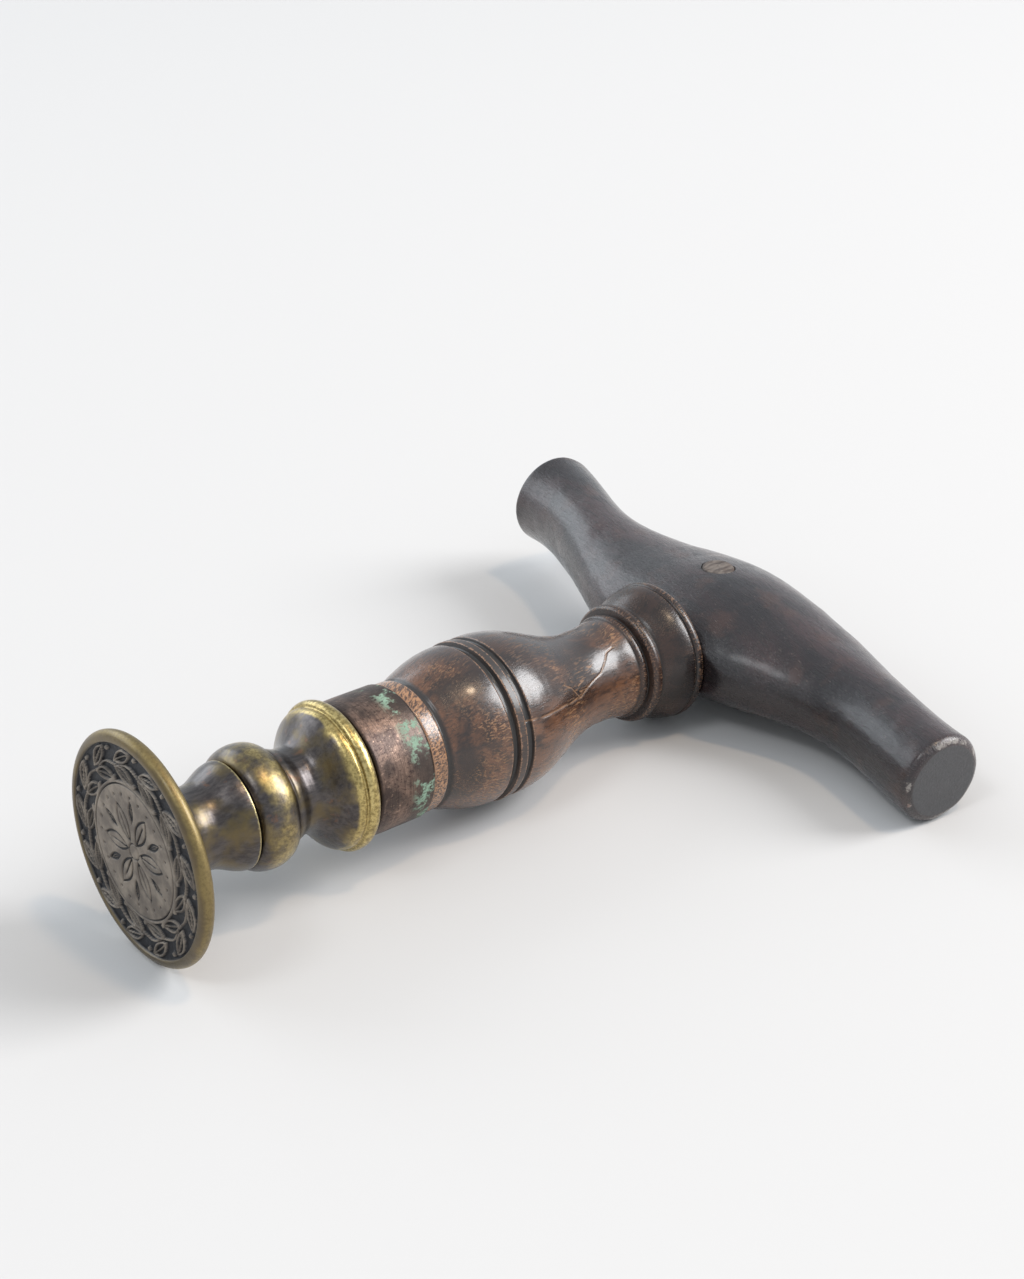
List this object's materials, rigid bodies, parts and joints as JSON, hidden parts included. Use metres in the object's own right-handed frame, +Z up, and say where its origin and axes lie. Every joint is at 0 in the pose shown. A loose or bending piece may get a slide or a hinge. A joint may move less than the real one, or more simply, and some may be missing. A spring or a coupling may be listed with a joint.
{
  "type": "hand seal",
  "caption": "T-handled desk seal: a round engraved brass seal head screwed by a threaded tang into a turned wooden stem that ends in a wooden cross handle.",
  "frame": {"origin": "middle of the bounding box on the desk, with the seal lying at rest", "axes": "+Z up from the desk; +X runs along the stem from the seal face to the cross handle, with the stem sloping down by 3.5 degrees; +Y runs along the cross handle to the arm whose end is off the desk"},
  "size_m": [0.1269, 0.1055, 0.0331],
  "materials": {
    "head_brass": "old brass, brown patina in the coves and bright wear on the ridges",
    "tang_steel": "oiled steel",
    "washer_leather": "dark pressed leather",
    "ferrule_copper": "dull copper alloy with green verdigris patches",
    "stem_wood": "turned hardwood, worn varnish, burnt grooves",
    "handle_wood": "dark stained hardwood, satin, worn at the ends",
    "peg_wood": "dull end grain"
  },
  "bodies": {
    "grip": {"stem": "stem_wood", "ferrule": "ferrule_copper", "handle": "handle_wood", "handle_peg": "peg_wood"},
    "washer": {"washer": "washer_leather"},
    "head": {"seal_head": "head_brass", "seal_tang": "tang_steel"}
  },
  "joints": [
    {"name": "seal_travel", "type": "slide", "parent": "grip", "child": "washer", "axis": [-0.9982, 0, 0.0599], "range_m": [0, 0.0124]},
    {"name": "seal_turn", "type": "hinge", "parent": "washer", "child": "head", "pos_m": [-0.02996, 0.00049, 0.01468], "axis": [-0.9982, 0, 0.0599], "range_deg": [0, 2970]}
  ],
  "couplings": [
    {"joint": "seal_travel", "follows": "seal_turn", "m_per_rad": 0.00023873}
  ]
}
